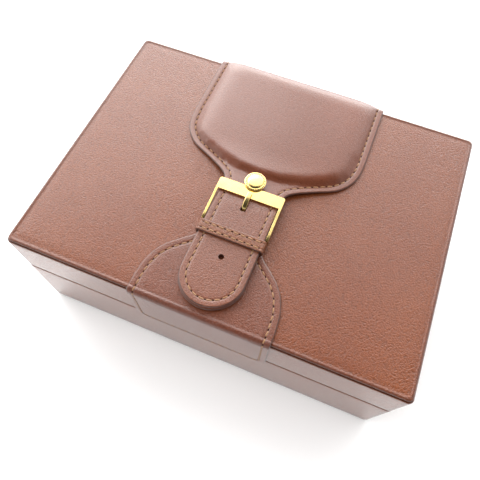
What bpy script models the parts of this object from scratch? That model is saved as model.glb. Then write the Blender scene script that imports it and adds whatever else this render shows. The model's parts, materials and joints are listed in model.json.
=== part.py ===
"""Leather-covered watch box with a hinged lid and a strap-and-buckle trim, as separate sub-parts.

Metres, +Z up, front is -Y. The origin is the bottom centre of the closed box.
Dimensions below are in millimetres and are multiplied by MM when a mesh is made.
"""

import math

import bmesh
import bpy

MM = 0.001
GAP = 0.3            # clearance between sub-parts that touch in the real object

# Overall box
WIDTH, DEPTH, HEIGHT = 180.0, 133.0, 67.6
PARTING_Z = 41.4     # plane where lid and base meet
PARTING_GAP = 0.2    # half of the slit between the two rims
CORNER_R = 2.5
SKIN = 1.2           # leather on the walls
BOARD = 5.0          # wall boards
FLOOR_BOARD, TOP_BOARD = 2.9, 3.2
PAD_T = 0.8          # suede under the base
COLLAR_T, COLLAR_TOP = 1.6, 46.4
COLLAR_X, COLLAR_Y = 82.0, 58.5
LINING_T = 0.6

# Hinges
AXIS_Y = 66.2        # knuckle centre line, at the back face
KNUCKLE_R, PIN_R, PIN_HOLE_R = 1.5, 0.6, 0.75
HINGE_X, HINGE_LEN = 58.0, 26.0
LEAF_T, LEAF_Y0, LEAF_Y1 = 0.8, 60.3, 64.3
SCREW_Y, SCREW_DX, SCREW_R, SCREW_HEAD_R, SCREW_LEN = 62.4, 8.0, 0.75, 1.6, 5.0
MAGNET_X, MAGNET_Y, MAGNET_R, MAGNET_T = 60.0, -62.5, 2.0, 3.0

# Inside
TRAY_TOP = 34.0
WELL_X, WELL_Y, WELL_Z = 37.0, 31.0, 9.5
POCKET_X0, POCKET_X1, POCKET_Y, POCKET_Z = 46.0, 74.0, 44.0, 20.0
CUSHION_X, CUSHION_Y, CUSHION_TOP = 33.0, 27.0, 50.0

# Strap and buckle trim: heights are above the lid's top
TRIM_X = 0.5         # centre line of the strap
STRAP_HALF = 14.1
STRAP_T, STRAP_LINING_T = 1.1, 0.8
BEND_Y = -36.5       # the free end of the strap lifts about this line
TIP_ROUND_Y = -48.6
CROSSBAR_Y, CROSSBAR_H, CROSSBAR_R = -24.9, 1.35, 0.45
ARM_IN, ARM_OUT = 14.4, 15.5
BAR_Y0, BAR_Y1, BAR_H0, BAR_H1 = -9.8, -3.9, 4.3, 5.4
SLOT_Y0, SLOT_Y1, SLOT_HALF = -17.3, -12.2, 1.5
HOLE_Y, HOLE_R = -40.2, 1.4
KEEPER_Y0, KEEPER_Y1 = -32.5, -26.8
MEDALLION_Y, MEDALLION_R = -1.1, 4.9
DOME = 2.5           # rise of the padded flap

LEATHER = ("leather", (0.23, 0.11, 0.075), 0.48, 0.0)
TRIM_LEATHER = ("trim_leather", (0.17, 0.085, 0.065), 0.45, 0.0)
WOOD = ("board", (0.52, 0.37, 0.22), 0.7, 0.0)
SUEDE = ("suede", (0.62, 0.55, 0.44), 0.9, 0.0)
FOAM = ("foam", (0.75, 0.73, 0.66), 0.9, 0.0)
GOLD = ("brass", (0.85, 0.66, 0.32), 0.22, 1.0)
STEEL = ("steel", (0.6, 0.6, 0.62), 0.35, 1.0)
RIBBON = ("ribbon", (0.25, 0.12, 0.08), 0.6, 0.0)


def clear_scene():
    for old in list(bpy.data.objects):
        bpy.data.objects.remove(old, do_unlink=True)


def solid(name, points, faces, look, origin=(0, 0, 0), helper=False):
    """One closed mesh object from points and an origin in millimetres."""
    mesh = bpy.data.meshes.new(name)
    at = [[(p[k] - origin[k]) * MM for k in range(3)] for p in points]
    mesh.from_pydata(at, [], faces)
    bm = bmesh.new()
    bm.from_mesh(mesh)
    bmesh.ops.recalc_face_normals(bm, faces=bm.faces)
    bm.to_mesh(mesh)
    bm.free()
    obj = bpy.data.objects.new(name, mesh)
    obj.location = [v * MM for v in origin]
    bpy.context.scene.collection.objects.link(obj)
    if helper:
        obj.hide_render = True
        obj.display_type = "WIRE"
        return obj
    kind, colour, rough, metal = look
    mat = bpy.data.materials.new(f"{name}_{kind}")
    mat.use_nodes = True
    shader = mat.node_tree.nodes["Principled BSDF"]
    shader.inputs["Base Color"].default_value = (*colour, 1)
    shader.inputs["Roughness"].default_value = rough
    shader.inputs["Metallic"].default_value = metal
    mesh.materials.append(mat)
    return obj


def boolean(target, tool, operation="DIFFERENCE"):
    mod = target.modifiers.new(f"{operation.lower()}_{tool.name}", "BOOLEAN")
    mod.operation, mod.solver, mod.object = operation, "EXACT", tool


def rounded(half_x, half_y, radius, steps=5):
    """A rounded rectangle about the origin, counter-clockwise."""
    out = []
    for cx, cy, start in ((1, 1, 0), (-1, 1, 90), (-1, -1, 180), (1, -1, 270)):
        for i in range(steps + 1):
            a = math.radians(start + 90 * i / steps)
            out.append((cx * (half_x - radius) + radius * math.cos(a),
                        cy * (half_y - radius) + radius * math.sin(a)))
    return out


def band(first, count):
    """Quads between two loops of points that follow each other."""
    return [(first + i, first + (i + 1) % count, first + count + (i + 1) % count, first + count + i)
            for i in range(count)]


def ring(name, half_x, half_y, radius, profile, look):
    """A wall all round: the closed profile of (inset, z) swept round a rounded rectangle."""
    points, faces = [], []
    for inset, z in profile:
        r = max(radius - 2 * inset, 0.4)
        points += [(x, y, z) for x, y in rounded(half_x - inset, half_y - inset, r)]
    count, rows = len(points) // len(profile), len(profile)
    for k in range(rows - 1):
        faces += band(k * count, count)
    last = (rows - 1) * count
    faces += [(last + i, last + (i + 1) % count, (i + 1) % count, i) for i in range(count)]
    return solid(name, points, faces, look)


def stack(name, half_x, half_y, radius, profile, look, centre=(0, 0), **more):
    """A solid of rounded rectangles stacked by (inset, z), closed at both ends."""
    points, faces = [], []
    for inset, z in profile:
        r = max(radius - inset, 0.4)
        points += [(x + centre[0], y + centre[1], z) for x, y in rounded(half_x - inset, half_y - inset, r)]
    count = len(points) // len(profile)
    for k in range(len(profile) - 1):
        faces += band(k * count, count)
    faces += [tuple(range(count)), tuple(range(len(points) - count, len(points)))]
    return solid(name, points, faces, look, **more)


def box(name, x, y, z, look, **more):
    points = [(x[i], y[j], z[k]) for k in (0, 1) for i, j in ((0, 0), (1, 0), (1, 1), (0, 1))]
    faces = band(0, 4) + [(0, 1, 2, 3), (4, 5, 6, 7)]
    return solid(name, points, faces, look, **more)


def along_x(name, outline, x0, x1, look, **more):
    """An outline in (y, z) drawn out from x0 to x1."""
    n = len(outline)
    points = [(x, y, z) for x in (x0, x1) for y, z in outline]
    return solid(name, points, band(0, n) + [tuple(range(n)), tuple(range(n, 2 * n))], look, **more)


def circle(cy, cz, r, steps=16, start=0.0, end=360.0):
    full = abs(end - start) >= 360
    angles = [math.radians(start + (end - start) * i / (steps if full else steps - 1)) for i in range(steps)]
    return [(cy + r * math.cos(a), cz + r * math.sin(a)) for a in angles]


def turned(name, cx, cy, profile, look, steps=16, **more):
    """A solid of revolution about a vertical axis, from (radius, z) with both ends closed."""
    points, faces = [], []
    for r, z in profile:
        points += [(cx + x, cy + y, z) for x, y in circle(0, 0, r, steps)]
    for k in range(len(profile) - 1):
        faces += band(k * steps, steps)
    faces += [tuple(range(steps)), tuple(range(len(points) - steps, len(points)))]
    return solid(name, points, faces, look, **more)


def sheet(name, rows, look, **more):
    """A closed sheet from rows of (lower, upper) point lists, one pair of lists for each row."""
    wide = len(rows[0][0])
    points, faces = [], []
    for lower, upper in rows:
        points += list(lower) + list(upper)[::-1]
    for k in range(len(rows) - 1):
        faces += band(k * 2 * wide, 2 * wide)
    end = (len(rows) - 1) * 2 * wide
    for i in range(wide - 1):
        a, b = i, 2 * wide - 1 - i
        faces += [(a, a + 1, b - 1, b), (end + a, end + a + 1, end + b - 1, end + b)]
    return solid(name, points, faces, look, **more)


def between(table, at):
    """Straight interpolation in a table of (position, value) sorted by falling position."""
    if at >= table[0][0]:
        return table[0][1]
    for (p0, v0), (p1, v1) in zip(table, table[1:]):
        if at >= p1:
            return v0 + (v1 - v0) * (p0 - at) / (p0 - p1)
    return table[-1][1]


def ease(t):
    t = min(max(t, 0.0), 1.0)
    return t * t * (3 - 2 * t)


def path_point(y, lift, wall):
    """A point on the lid's skin line, raised by lift. Beyond the top's ends it turns down the wall.

    y is the distance along the top. Past the edge, the rest of the length runs down the wall.
    """
    edge, turn = DEPTH / 2, 1.0
    side = 1 if wall == "back" else -1
    past = side * y - (edge - turn)
    if past <= 0:
        return y, HEIGHT + lift
    arc = turn * math.pi / 2
    if past < arc:
        a = past / turn
        r = turn + lift
        return side * (edge - turn + r * math.sin(a)), HEIGHT - turn + r * math.cos(a)
    return side * (edge + lift), HEIGHT - turn - (past - arc)


def drape(name, stations, look, half, lower, thick, centre, wall="back", columns=12, **more):
    """A leather piece laid over the lid. half, lower, thick and centre are functions of the station."""
    rows = []
    for s in stations:
        low, up = [], []
        for i in range(columns + 1):
            u = -1 + 2 * i / columns
            x = centre(s) + u * half(s)
            h = lower(x, s)
            for lift, into in ((h, low), (h + thick(s), up)):
                y, z = path_point(s, lift, wall)
                into.append((x, y, z))
        rows.append((low, up))
    return sheet(name, rows, look, **more)


def spaced(start, end, count):
    return [start + (end - start) * i / count for i in range(count + 1)]


# Shapes of the trim, as tables by falling y
FLAP_HALF = [(30, 43.8), (24.2, 43.2), (19.5, 42), (15.2, 39.4), (10.9, 35), (8.4, 30), (5.9, 25), (3.1, 20.2),
             (1, 16.9), (-1, 14.9), (-3.5, STRAP_HALF)]
PAD_HALF = [(62, 38.0), (30, 37.8), (24, 36.2), (19, 32.5), (16.4, 27), (14.4, 20), (13, 11)]
APRON_HALF = [(-29.8, 12), (-31, 14), (-33.5, 16.2), (-36, 19.4), (-41, 25.0), (-46, 28.8),
              (-53, 31.0), (-60, 31.6), (-200, 31.6)]
STRAP_UNDER = [(16, 0.3), (11, 0.6), (7, 1.1), (3, 1.7), (0, 2.1), (-3, 2.4), (-8.7, 2.95), (-13, 3.5), (-37, 3.5),
               (-44, 3.55), (-52, 3.6)]
DOME_OUTLINE = [(-41, 64), (-41, 30), (-39.6, 20.5), (-36, 15.3), (-30, 11.4), (-20, 7.2), (-10, 4.6), (0, 3.8),
                (10, 4.6), (20, 7.2), (30, 11.4), (36, 15.3), (39.6, 20.5), (41, 30), (41, 64)]


def depth_inside(x, y):
    """How far a point is inside the padded area of the flap, or 0 outside it."""
    inside, nearest = False, 1e9
    ends = DOME_OUTLINE[1:] + DOME_OUTLINE[:1]
    for (x0, y0), (x1, y1) in zip(DOME_OUTLINE, ends):
        if (y0 > y) != (y1 > y) and x < (x1 - x0) * (y - y0) / (y1 - y0) + x0:
            inside = not inside
        t = ((x - x0) * (x1 - x0) + (y - y0) * (y1 - y0)) / ((x1 - x0) ** 2 + (y1 - y0) ** 2)
        t = min(max(t, 0.0), 1.0)
        nearest = min(nearest, math.hypot(x - x0 - t * (x1 - x0), y - y0 - t * (y1 - y0)))
    return nearest if inside else 0.0


def flap_lower(x, y):
    return between(STRAP_UNDER, y) + DOME * ease(depth_inside(x, y) / 7)


def flap_centre(y):
    return TRIM_X * ease((20 - y) / 20)


def build_base():
    stack("bottom_pad", WIDTH / 2 - 5, DEPTH / 2 - 5, 3, [(0, 0), (0, PAD_T)], SUEDE)
    foot, top = PAD_T + GAP, PARTING_Z - PARTING_GAP
    turn_in = WIDTH / 2 - COLLAR_X - GAP
    wrap = ring("base_leather_wrap", WIDTH / 2, DEPTH / 2, CORNER_R, [
        (12, foot), (1, foot), (0.3, foot + 0.3), (0, foot + 1), (0, top - 0.8), (0.25, top - 0.25), (0.8, top),
        (turn_in, top), (turn_in, top - SKIN), (SKIN, top - SKIN), (SKIN, foot + 1.1), (12, foot + 1.1)], LEATHER)
    low, high = foot + 1.1 + GAP, top - SKIN - GAP
    ox, oy = WIDTH / 2 - SKIN - GAP, DEPTH / 2 - SKIN - GAP
    ix, iy = ox - BOARD, oy - BOARD
    boards = {
        "front": box("base_board_front", (-ox, ox), (-oy, -iy), (low, high), WOOD),
        "back": box("base_board_back", (-ox, ox), (iy, oy), (low, high), WOOD),
    }
    box("base_board_left", (-ox, -ix), (-iy + GAP, iy - GAP), (low, high), WOOD)
    box("base_board_right", (ix, ox), (-iy + GAP, iy - GAP), (low, high), WOOD)
    box("base_floor_board", (-ix + GAP, ix - GAP), (-iy + GAP, iy - GAP), (low, low + FLOOR_BOARD), WOOD)
    inside = low + FLOOR_BOARD + GAP
    ring("base_collar", COLLAR_X, COLLAR_Y, 1.5, [
        (0, inside), (0, COLLAR_TOP - 0.4), (0.4, COLLAR_TOP), (COLLAR_T - 0.4, COLLAR_TOP),
        (COLLAR_T, COLLAR_TOP - 0.4), (COLLAR_T, inside)], SUEDE)
    return wrap, boards, inside


def build_inside(inside):
    tx, ty = COLLAR_X - COLLAR_T - GAP, COLLAR_Y - COLLAR_T - GAP
    tray = stack("insert_tray", tx, ty, 1.2, [
        (0, inside), (0, TRAY_TOP - 0.8), (0.25, TRAY_TOP - 0.2), (0.8, TRAY_TOP)], SUEDE)
    well = stack("cut_well", WELL_X, WELL_Y, 8, [(0, WELL_Z), (0, TRAY_TOP + 5)], None, helper=True)
    boolean(tray, well)
    for side in (-1, 1):
        middle = side * (POCKET_X0 + POCKET_X1) / 2
        pocket = stack(f"cut_pocket_{side}", (POCKET_X1 - POCKET_X0) / 2, POCKET_Y, 6,
                       [(0, POCKET_Z), (0, TRAY_TOP + 5)], None, centre=(middle, 0), helper=True)
        boolean(tray, pocket)
    notch = box("cut_ribbon_notch", (-6.3, 6.3), (-ty - 1, -ty + 1.6), (20, TRAY_TOP + 5), None, helper=True)
    boolean(tray, notch)
    y0, up = -ty + 0.4, TRAY_TOP + GAP
    along_x("insert_ribbon", [(y0, 21), (y0 + 0.6, 21), (y0 + 0.6, up), (y0 + 15, up), (y0 + 15, up + 0.6),
                              (y0 + 0.4, up + 0.6), (y0, up + 0.3)], -5.5, 5.5, RIBBON)
    bottom = WELL_Z + GAP
    stack("watch_cushion", CUSHION_X, CUSHION_Y, 13, [
        (7, bottom), (3.2, bottom + 1.4), (1, bottom + 4.5), (0, bottom + 11), (0, bottom + 24),
        (0.8, CUSHION_TOP - 9), (2.6, CUSHION_TOP - 4.5), (6, CUSHION_TOP - 1.4), (10, CUSHION_TOP - 0.2),
        (12.4, CUSHION_TOP)], SUEDE)


def build_lid():
    foot, top = PARTING_Z + PARTING_GAP, HEIGHT - SKIN - GAP
    turn_in = WIDTH / 2 - COLLAR_X - 2 * GAP
    wrap = ring("lid_leather_wrap", WIDTH / 2, DEPTH / 2, CORNER_R, [
        (turn_in, foot), (0.8, foot), (0.25, foot + 0.25), (0, foot + 0.8), (0, top - 0.5), (0.15, top - 0.1),
        (0.4, top), (SKIN, top), (SKIN, foot + SKIN), (turn_in, foot + SKIN)], LEATHER)
    stack("lid_top_leather", WIDTH / 2, DEPTH / 2, CORNER_R, [
        (0.3, HEIGHT - SKIN), (0, HEIGHT - 0.9), (0, HEIGHT - 0.4), (0.15, HEIGHT - 0.15), (0.5, HEIGHT)], LEATHER)
    ox, oy = WIDTH / 2 - SKIN - GAP, DEPTH / 2 - SKIN - GAP
    ix, iy = ox - BOARD, oy - BOARD
    ceiling = top - TOP_BOARD
    box("lid_top_board", (-ox, ox), (-oy, oy), (ceiling, top), WOOD)
    low, high = foot + SKIN + GAP, ceiling - GAP
    boards = {
        "front": box("lid_board_front", (-ox, ox), (-oy, -iy), (low, high), WOOD),
        "back": box("lid_board_back", (-ox, ox), (iy, oy), (low, high), WOOD),
    }
    box("lid_board_left", (-ox, -ix), (-iy + GAP, iy - GAP), (low, high), WOOD)
    box("lid_board_right", (ix, ox), (-iy + GAP, iy - GAP), (low, high), WOOD)
    lx, ly = ix - GAP, iy - GAP
    outer = [rounded(lx, ly, 0.6), rounded(lx, ly, 0.6)]
    inner = [rounded(lx - LINING_T, ly - LINING_T, 0.5)] * 2
    count = len(outer[0])
    points = [(x, y, z) for loop, z in zip(outer + inner, (high, low, low, high - 0.7)) for x, y in loop]
    faces = band(0, count) + band(count, count) + band(2 * count, count)
    faces += [tuple(range(count)), tuple(range(3 * count, 4 * count))]
    solid("lid_lining", points, faces, SUEDE)
    under = high - 0.7 - GAP
    stack("lid_pad", lx - 4, ly - 4, 6, [
        (4, under - 3.2), (1.4, under - 2.8), (0.3, under - 1.9), (0, under - 1.0), (0, under)], SUEDE)
    return wrap, boards


def build_magnets(base_boards, lid_boards):
    tops = {"base": PARTING_Z - PARTING_GAP - SKIN - 2 * GAP, "lid": PARTING_Z + PARTING_GAP + SKIN + 2 * GAP}
    for word, side in (("left", -1), ("right", 1)):
        for part, board in (("base", base_boards["front"]), ("lid", lid_boards["front"])):
            way = -1 if part == "base" else 1
            z0 = tops[part]
            ends = sorted((z0, z0 + way * MAGNET_T))
            turned(f"{part}_magnet_{word}", side * MAGNET_X, MAGNET_Y,
                   [(MAGNET_R, ends[0]), (MAGNET_R, ends[1])], STEEL)
            open_end = z0 - way * 2
            hole = turned(f"cut_{part}_magnet_{word}", side * MAGNET_X, MAGNET_Y,
                          [(MAGNET_R + 0.2, min(open_end, ends[0] - GAP * (way < 0))),
                           (MAGNET_R + 0.2, max(open_end, ends[1] + GAP * (way > 0)))], None, helper=True)
            boolean(board, hole)


def build_hinges(base_wrap, base_boards, lid_wrap, lid_boards):
    span = HINGE_LEN / 2
    third = HINGE_LEN / 3
    for word, side in (("left", -1), ("right", 1)):
        at = side * HINGE_X
        mortise = box(f"cut_mortise_{word}", (at - span - GAP, at + span + GAP), (LEAF_Y0 - GAP, DEPTH),
                      (PARTING_Z - LEAF_T - 0.6, PARTING_Z + LEAF_T + 0.6), None, helper=True)
        barrel_room = along_x(f"cut_barrel_{word}", circle(AXIS_Y, PARTING_Z, KNUCKLE_R + GAP, 24),
                              at - span - GAP, at + span + GAP, None, helper=True)
        for target in (base_wrap, lid_wrap, base_boards["back"], lid_boards["back"]):
            boolean(target, mortise)
            boolean(target, barrel_room)
        knuckles = {"base": ((at - span, at - span + third - 0.15), (at + span - third + 0.15, at + span)),
                    "lid": ((at - third / 2 + 0.15, at + third / 2 - 0.15),)}
        for part, way, board in (("base", -1, base_boards["back"]), ("lid", 1, lid_boards["back"])):
            near = PARTING_Z + way * 0.3
            z = sorted((near, near + way * LEAF_T))
            leaf = box(f"hinge_{word}_{part}_leaf", (at - span, at + span), (LEAF_Y0, LEAF_Y1), z, GOLD)
            for k, (x0, x1) in enumerate(knuckles[part]):
                tab = box(f"add_tab_{word}_{part}_{k}", (x0, x1), (LEAF_Y1 - 0.5, AXIS_Y), z, None, helper=True)
                barrel = along_x(f"add_knuckle_{word}_{part}_{k}", circle(AXIS_Y, PARTING_Z, KNUCKLE_R, 20),
                                 x0, x1, None, helper=True)
                boolean(leaf, tab, "UNION")
                boolean(leaf, barrel, "UNION")
            bore = along_x(f"cut_bore_{word}_{part}", circle(AXIS_Y, PARTING_Z, PIN_HOLE_R, 16),
                           at - span - 1, at + span + 1, None, helper=True)
            boolean(leaf, bore)
            for k, dx in enumerate((-SCREW_DX, SCREW_DX)):
                sx, face = at + dx, near
                cone = [(SCREW_HEAD_R, face), (SCREW_R, face + way * 0.75), (SCREW_R, face + way * SCREW_LEN)]
                room = [(SCREW_HEAD_R + 0.25, face - way), (SCREW_HEAD_R + 0.25, face - way * 0.02),
                        (SCREW_R + 0.25, face + way * 0.83), (SCREW_R + 0.25, face + way * (SCREW_LEN + 0.4))]
                turned(f"hinge_{word}_{part}_screw_{k + 1}", sx, SCREW_Y, cone, GOLD, 12)
                hole = turned(f"cut_screw_{word}_{part}_{k}", sx, SCREW_Y, room, None, 12, helper=True)
                boolean(leaf, hole)
                boolean(board, hole)
        along_x(f"hinge_{word}_pin", circle(AXIS_Y, PARTING_Z, PIN_R, 12), at - span + 0.1, at + span - 0.1, GOLD)


def build_flap_and_strap():
    back = [DEPTH / 2 + 12.0, DEPTH / 2 + 6.0, DEPTH / 2 + 0.57]
    turn = spaced(DEPTH / 2 + 0.5, DEPTH / 2 - 1.0, 4)
    top = spaced(63.5, 32, 4) + [28.5, 25, 22, 19, 17, 15, 13, 11.5, 10, 8, 6, 3.5, 1, -1.5]
    strap = [-4, -7, -10, -13, -24, BEND_Y + 0.2]

    def half(s):
        if s > DEPTH / 2 + 9:
            return FLAP_HALF[0][1] - 3
        return between(FLAP_HALF, s)

    def lower(x, s):
        return 0.3 if s > 62 else flap_lower(x, s)

    def thick(s):
        return 0.9 + 0.2 * ease((12 - s) / 12)

    flap = drape("flap_leather", back + turn + top + strap, TRIM_LEATHER, half, lower, thick, flap_centre,
                 columns=14)
    prong_slot = stack("cut_slot", SLOT_HALF, (SLOT_Y1 - SLOT_Y0) / 2, 1.45, [(0, HEIGHT - 1), (0, HEIGHT + 12)],
                       None, centre=(TRIM_X, (SLOT_Y0 + SLOT_Y1) / 2), helper=True)
    boolean(flap, prong_slot)

    drape("flap_padding", [57.5, 52, 46, 38, 30, 27, 24, 21.5, 19, 17.5, 16.4, 14.4, 13], FOAM,
          lambda s: between(PAD_HALF, s), lambda x, s: 0.3,
          lambda s: 0.5, lambda s: 0.0, columns=14)
    # The padding follows the flap, just below its leather.
    pad = bpy.data.objects["flap_padding"].data
    for v in pad.vertices:
        x, y, z = (c / MM for c in v.co)
        if z - HEIGHT > 0.5:
            v.co.z = (HEIGHT + 0.55 + 0.7 * max(flap_lower(x, y) - 1.1, 0)) * MM

    def strap_low(x, s):
        return between(STRAP_UNDER, s) - 0.2 - STRAP_LINING_T

    lining = drape("strap_root_lining", [-1, -3, -6, -8.7, -11, -13, -24, BEND_Y + 0.2], TRIM_LEATHER,
                   lambda s: min(between(FLAP_HALF, s), 14.6), strap_low, lambda s: STRAP_LINING_T,
                   lambda s: TRIM_X, columns=6)
    boolean(lining, prong_slot)

    def tip_half(s):
        past = TIP_ROUND_Y - s
        return STRAP_HALF if past <= 0 else math.sqrt(max(STRAP_HALF ** 2 - past ** 2, 0.0))

    ends = [TIP_ROUND_Y - STRAP_HALF * math.sin(math.radians(a)) for a in (12, 25, 38, 50, 61, 70, 78, 84)]
    along = [BEND_Y - 0.2, -39, -42, -45] + [TIP_ROUND_Y] + ends
    pivot = (TRIM_X, BEND_Y, HEIGHT + 3.5 + STRAP_T)
    upper = drape("strap_tip_leather", along, TRIM_LEATHER, tip_half, lambda x, s: between(STRAP_UNDER, s),
                  lambda s: STRAP_T, lambda s: TRIM_X, wall="front", columns=8, origin=pivot)
    lower_tip = drape("strap_tip_lining", along, TRIM_LEATHER, tip_half, strap_low, lambda s: STRAP_LINING_T,
                      lambda s: TRIM_X, wall="front", columns=8, origin=pivot)
    hole = turned("cut_spare_hole", TRIM_X, HOLE_Y, [(HOLE_R, HEIGHT - 1), (HOLE_R, HEIGHT + 12)], None, 16,
                  helper=True)
    boolean(upper, hole)
    boolean(lower_tip, hole)


def build_apron_and_chape():
    edge = -DEPTH / 2
    down = [-(DEPTH / 2 + 29.2), -(DEPTH / 2 + 28.4), -(DEPTH / 2 + 26.6), -(DEPTH / 2 + 12), edge - 0.57]
    corner = spaced(edge - 0.5, edge + 1.0, 4)
    over = [-63, -60, -56.5, -53, -49.5, -46, -43.5, -41, -38.5, -36, -33.5, -31, -29.8]
    low = {down[0]: 27.9, down[1]: 30.5}
    drape("apron_leather", down + corner + over, TRIM_LEATHER, lambda s: low.get(s, between(APRON_HALF, s)),
          lambda x, s: 0.3, lambda s: 0.9, lambda s: TRIM_X, wall="front", columns=8)
    cy, cz = CROSSBAR_Y, HEIGHT + CROSSBAR_H
    outline = circle(cy, cz, 1.0, 15, -90, 205) + circle(cy, cz, 0.6, 15, 205, -90)
    outline += [(-29.0, cz - 0.6), (-29.0, cz - 1.0)]
    chape = along_x("chape_tab", outline, TRIM_X - 12.5, TRIM_X + 12.5, TRIM_LEATHER)
    slot = box("cut_chape_slot", (TRIM_X - 1.6, TRIM_X + 1.6), (cy - 1.6, cy + 3), (HEIGHT, HEIGHT + 6), None,
               helper=True)
    boolean(chape, slot)


def build_keeper():
    outer = rounded(15.5, 2.2, 1.5, 4)
    inner = rounded(14.5, 1.35, 0.7, 4)
    count = len(outer)
    points = []
    for loop, cz, y in ((outer, 3.7, KEEPER_Y0), (outer, 3.7, KEEPER_Y1), (inner, 3.55, KEEPER_Y1),
                        (inner, 3.55, KEEPER_Y0)):
        points += [(TRIM_X + x, y, HEIGHT + cz + z) for x, z in loop]
    faces = band(0, count) + band(count, count) + band(2 * count, count)
    faces += [(3 * count + i, 3 * count + (i + 1) % count, (i + 1) % count, i) for i in range(count)]
    solid("keeper_loop", points, faces, TRIM_LEATHER, origin=(TRIM_X, KEEPER_Y1, HEIGHT + 3.7))


def build_buckle():
    cy, cz = CROSSBAR_Y, HEIGHT + CROSSBAR_H
    pivot = (TRIM_X, cy, cz)
    b0, b1 = HEIGHT + BAR_H0, HEIGHT + BAR_H1
    # Each arm runs almost level and turns down to the crossbar at its end.
    side = circle(cy, cz, 1.05, 12, 180, 360)
    side += [(cy + 1.05, cz + 1.6), (cy + 1.7, cz + 2.1), (BAR_Y0, b0 - 0.1), (BAR_Y0 + 1.2, b0 + 0.05),
             (BAR_Y1 - 0.5, b0 + 0.05), (BAR_Y1 - 0.1, b0 + 0.4), (BAR_Y1 - 0.1, b1 - 0.45), (BAR_Y1 - 0.5, b1 - 0.06),
             (BAR_Y0 + 0.5, b1 - 0.06), (cy + 0.6, cz + 3.2), (cy - 0.6, cz + 2.9), (cy - 1.05, cz + 2.3)]
    arms = [along_x("buckle_frame", side, TRIM_X - ARM_OUT, TRIM_X - ARM_IN, GOLD, origin=pivot),
            along_x("add_arm", side, TRIM_X + ARM_IN, TRIM_X + ARM_OUT, None, helper=True)]
    frame = arms[0]
    bar = along_x("add_bar", [(BAR_Y0, b0 + 0.3), (BAR_Y0 + 0.4, b0), (BAR_Y1 - 0.4, b0), (BAR_Y1, b0 + 0.35),
                              (BAR_Y1, b1 - 0.4), (BAR_Y1 - 0.4, b1), (BAR_Y0 + 0.4, b1), (BAR_Y0, b1 - 0.4)],
                  TRIM_X - ARM_OUT + 0.3, TRIM_X + ARM_OUT - 0.3, None, helper=True)
    boolean(frame, bar, "UNION")
    boolean(frame, arms[1], "UNION")
    eye = along_x("cut_eye", circle(cy, cz, CROSSBAR_R + 0.12, 16), TRIM_X - 20, TRIM_X + 20, None, helper=True)
    boolean(frame, eye)
    along_x("buckle_crossbar", circle(cy, cz, CROSSBAR_R, 12), TRIM_X - ARM_OUT + 0.1, TRIM_X + ARM_OUT - 0.1,
            GOLD, origin=pivot)
    r, z = MEDALLION_R, b1 + GAP
    turned("buckle_medallion", TRIM_X, MEDALLION_Y, [
        (r - 0.3, z), (r, z + 0.3), (r, z + 0.9), (r - 0.4, z + 1.2), (r - 1.0, z + 1.2), (r - 1.4, z + 0.85),
        (r * 0.62, z + 1.25), (r * 0.4, z + 1.5), (r * 0.15, z + 1.62)], GOLD, 28, origin=pivot)

    h = HEIGHT
    middle = [(cy, h + 1.35), (-22.1, h + 1.0), (-17.2, h + 0.95), (-14.3, h + 4.7), (-12.8, h + 5.8),
              (-10.6, h + 6.2), (-7.7, h + 6.2)]
    above, below = [], []
    for k, (y, z) in enumerate(middle):
        y0, z0 = middle[max(k - 1, 0)]
        y1, z1 = middle[min(k + 1, len(middle) - 1)]
        size = math.hypot(y1 - y0, z1 - z0)
        ny, nz = -(z1 - z0) / size, (y1 - y0) / size
        above.append((y + 0.5 * ny, z + 0.5 * nz))
        below.append((y - 0.5 * ny, z - 0.5 * nz))
    nose = [(-7.35, h + 6.4), (-7.35, h + 6.0)]
    prong = along_x("buckle_prong", above + nose + below[::-1], TRIM_X - 1.1, TRIM_X + 1.1, GOLD, origin=pivot)
    loop = along_x("add_prong_eye", circle(cy, cz, 1.0, 18), TRIM_X - 1.1, TRIM_X + 1.1, None, helper=True)
    bore = along_x("cut_prong_bore", circle(cy, cz, CROSSBAR_R + 0.12, 14), TRIM_X - 3, TRIM_X + 3, None,
                   helper=True)
    boolean(prong, loop, "UNION")
    boolean(prong, bore)


def main():
    clear_scene()
    base_wrap, base_boards, inside = build_base()
    build_inside(inside)
    lid_wrap, lid_boards = build_lid()
    build_magnets(base_boards, lid_boards)
    build_hinges(base_wrap, base_boards, lid_wrap, lid_boards)
    build_flap_and_strap()
    build_apron_and_chape()
    build_keeper()
    build_buckle()


main()
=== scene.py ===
"""Looks of the leather watch box: skins, stitched trim, gold buckle, suede inside, camera and light."""

import json
import math

import bmesh
import bpy
from mathutils import Matrix, Vector, geometry, noise


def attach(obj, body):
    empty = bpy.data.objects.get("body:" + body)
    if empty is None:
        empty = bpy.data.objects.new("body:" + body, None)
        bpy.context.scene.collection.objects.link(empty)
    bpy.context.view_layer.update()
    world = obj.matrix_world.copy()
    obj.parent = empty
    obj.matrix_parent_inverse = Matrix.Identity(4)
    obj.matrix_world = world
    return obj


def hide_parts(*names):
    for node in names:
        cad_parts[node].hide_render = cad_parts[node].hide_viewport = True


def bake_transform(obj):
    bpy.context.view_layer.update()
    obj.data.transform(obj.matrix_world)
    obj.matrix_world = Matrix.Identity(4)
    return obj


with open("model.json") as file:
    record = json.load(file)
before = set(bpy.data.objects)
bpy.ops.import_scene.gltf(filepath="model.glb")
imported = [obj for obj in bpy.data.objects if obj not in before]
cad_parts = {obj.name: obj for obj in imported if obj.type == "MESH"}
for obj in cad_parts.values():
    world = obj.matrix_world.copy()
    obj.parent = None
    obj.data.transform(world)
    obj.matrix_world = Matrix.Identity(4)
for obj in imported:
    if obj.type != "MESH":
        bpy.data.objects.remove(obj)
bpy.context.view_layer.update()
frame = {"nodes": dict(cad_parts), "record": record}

MM = 0.001
W, D, H = 90.0, 66.5, 67.6          # half width, half depth, height
PART_Z = 41.4                       # where the lid meets the base
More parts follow.
